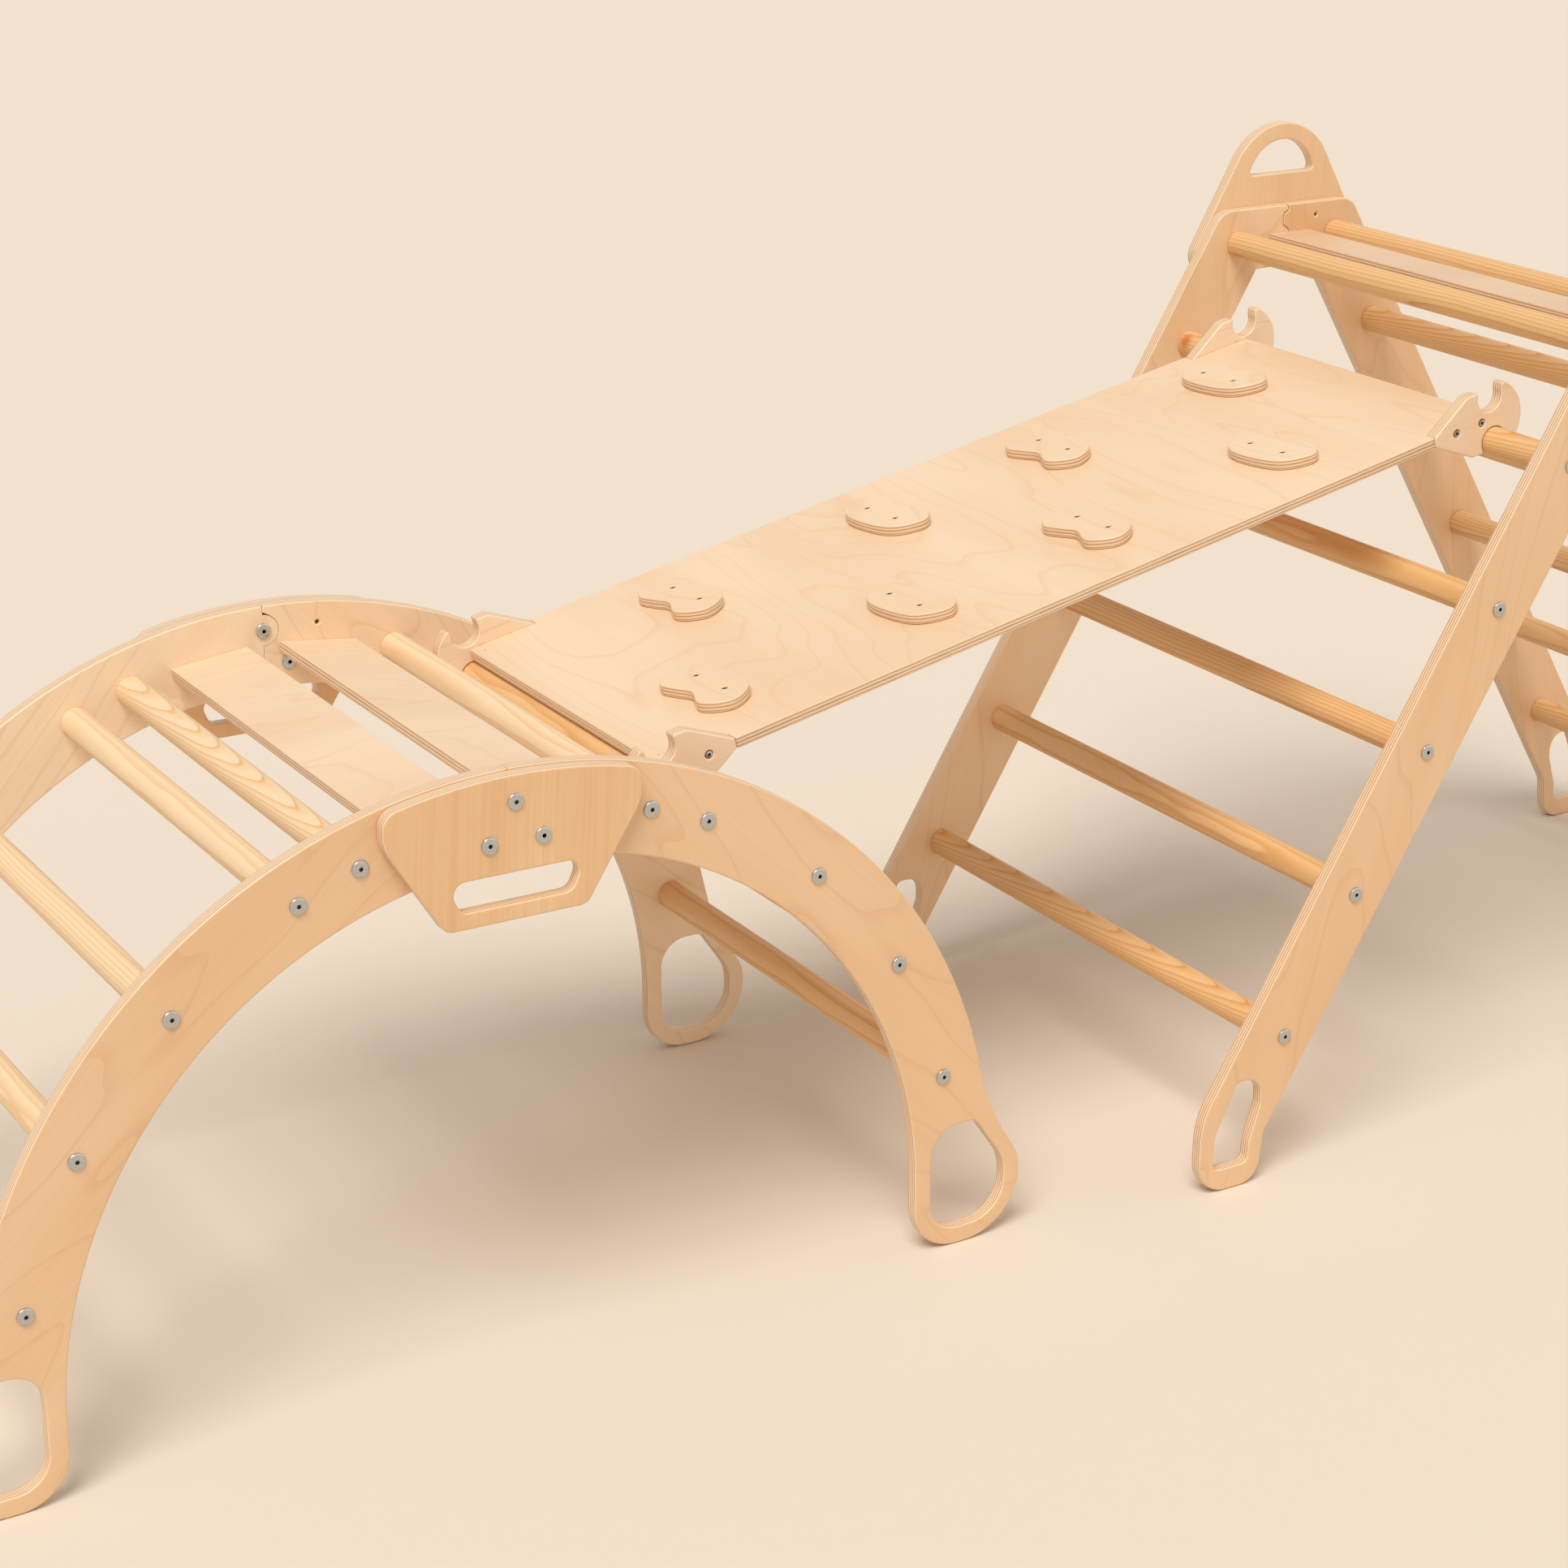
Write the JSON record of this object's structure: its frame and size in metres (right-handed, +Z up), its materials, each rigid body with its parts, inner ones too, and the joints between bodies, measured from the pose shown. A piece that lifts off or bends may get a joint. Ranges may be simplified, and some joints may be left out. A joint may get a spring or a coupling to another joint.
{
  "type": "climbing arch and triangle set with ramp",
  "caption": "Wooden climbing set: a folding arch of rungs, a folding ladder triangle, and a ramp with grip holds hooked between their rungs.",
  "frame": {"origin": "on the floor, midway between the two outermost feet, on the set's middle plane", "axes": "+Z up, +X from the arch towards the ladder triangle, +Y across the set, away from the pictured side"},
  "size_m": [2.5724, 0.7188, 1.0059],
  "materials": {
    "birch_ply": "satin",
    "handle_ply": "satin",
    "pine": "satin",
    "zinc_steel": "satin"
  },
  "bodies": {
    "arch_right": {"arch_right_panel_front": "birch_ply", "arch_right_panel_back": "birch_ply", "arch_plate_front": "handle_ply", "arch_plate_back": "handle_ply", "arch_pivot_front": "zinc_steel", "arch_pivot_back": "zinc_steel", "arch_right_rung_1": "pine", "arch_right_rung_2": "pine", "arch_right_rung_3": "pine", "arch_right_rung_4": "pine", "arch_right_rung_5": "pine", "arch_right_slat": "birch_ply"},
    "arch_left": {"arch_left_panel_front": "birch_ply", "arch_left_panel_back": "birch_ply", "arch_lock_nut_front": "zinc_steel", "arch_lock_nut_back": "zinc_steel", "arch_left_rung_1": "pine", "arch_left_rung_2": "pine", "arch_left_rung_3": "pine", "arch_left_rung_4": "pine", "arch_left_rung_5": "pine", "arch_left_slat": "birch_ply"},
    "triangle_left": {"tri_left_leg_front": "birch_ply", "tri_left_leg_back": "birch_ply", "tri_left_rung_1": "pine", "tri_left_rung_2": "pine", "tri_left_rung_3": "pine", "tri_left_rung_4": "pine", "tri_left_rung_5": "pine", "tri_left_rung_6": "pine"},
    "triangle_right": {"tri_right_leg_front": "birch_ply", "tri_right_leg_back": "birch_ply", "tri_plate_front": "handle_ply", "tri_plate_back": "handle_ply", "tri_pivot_front": "zinc_steel", "tri_pivot_back": "zinc_steel", "tri_right_rung_1": "pine", "tri_right_rung_2": "pine", "tri_right_rung_3": "pine", "tri_right_rung_4": "pine", "tri_right_rung_5": "pine", "tri_right_rung_6": "pine", "tri_top_slat": "birch_ply"},
    "ramp": {"ramp_board": "birch_ply", "ramp_hook_low_front": "birch_ply", "ramp_hook_low_back": "birch_ply", "ramp_hook_high_front": "birch_ply", "ramp_hook_high_back": "birch_ply", "ramp_hold_1": "birch_ply", "ramp_hold_2": "birch_ply", "ramp_hold_3": "birch_ply", "ramp_hold_4": "birch_ply", "ramp_hold_5": "birch_ply", "ramp_hold_6": "birch_ply", "ramp_hold_7": "birch_ply", "ramp_hold_8": "birch_ply"}
  },
  "joints": [
    {"name": "arch_fold", "type": "hinge", "parent": "arch_right", "child": "arch_left", "pos_m": [-0.72967, 0, 0.55705], "axis": [0, -1, 0], "range_deg": [0, 60]},
    {"name": "triangle_shift", "type": "slide", "parent": "arch_right", "child": "triangle_left", "axis": [0, 1, 0], "range_m": [-0.05, 0.05]},
    {"name": "triangle_fold", "type": "hinge", "parent": "triangle_left", "child": "triangle_right", "pos_m": [0.65827, 0, 0.8445], "axis": [0, 1, 0], "range_deg": [0, 50]},
    {"name": "ramp_lift", "type": "hinge", "parent": "triangle_left", "child": "ramp", "pos_m": [0.54058, 0, 0.75113], "axis": [0, 1, 0], "range_deg": [0, 60]}
  ]
}
